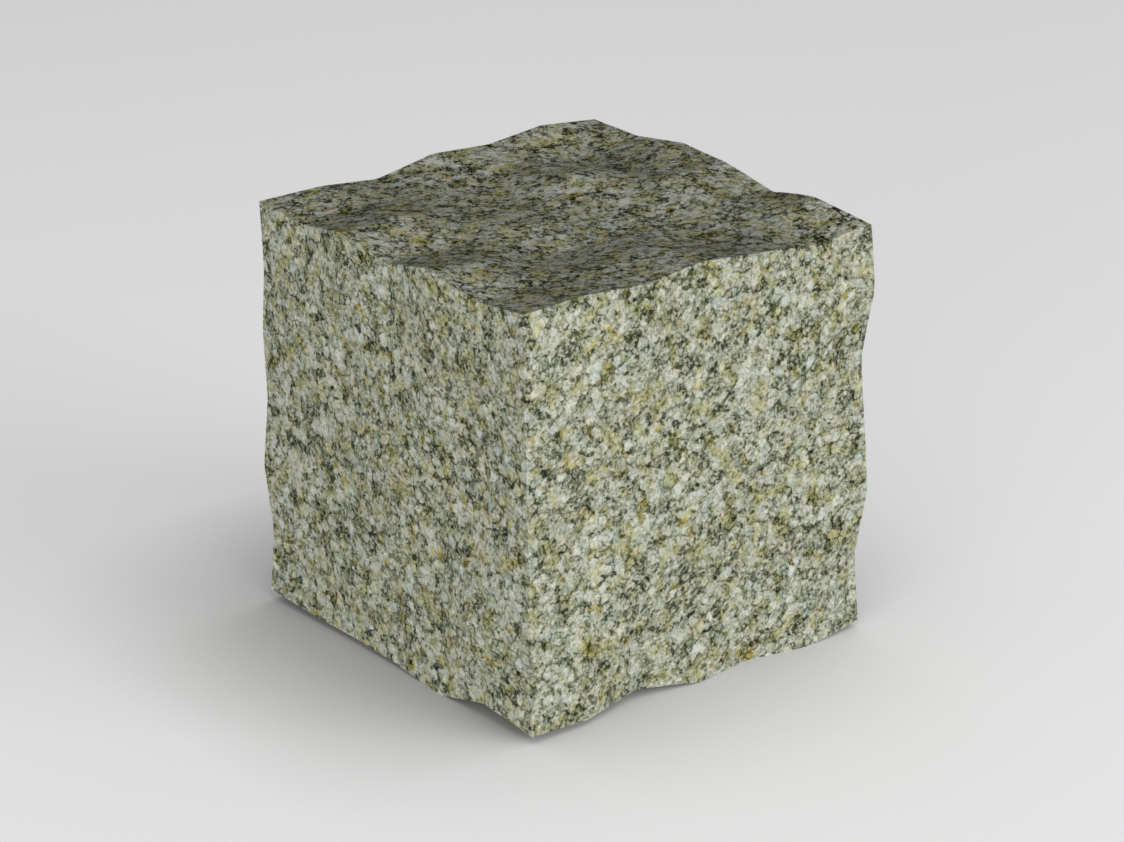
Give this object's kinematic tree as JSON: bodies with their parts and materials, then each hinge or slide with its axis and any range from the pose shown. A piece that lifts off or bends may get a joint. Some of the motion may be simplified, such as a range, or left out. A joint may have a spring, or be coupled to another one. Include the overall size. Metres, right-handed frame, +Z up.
{
  "type": "granite sett",
  "caption": "Cube of grey granite, cleft on every side, with gently wavy faces and sharp uneven arrises, for paving and edging.",
  "frame": {"origin": "under the middle of the sett, centred on its bounding box, at the level of the ground it stands on", "axes": "+Z up, -Y out of the front side, which the picture shows on the right, -X out of the left side, which the picture shows on the left"},
  "size_m": [0.1032, 0.1026, 0.1037],
  "materials": {
    "granite": "cleft medium-grained granite: pale grey-green and cream feldspar, grey quartz, clustered black mica and ochre iron stains, matt"
  },
  "bodies": {
    "root": {"granite_sett": "granite"}
  },
  "joints": []
}
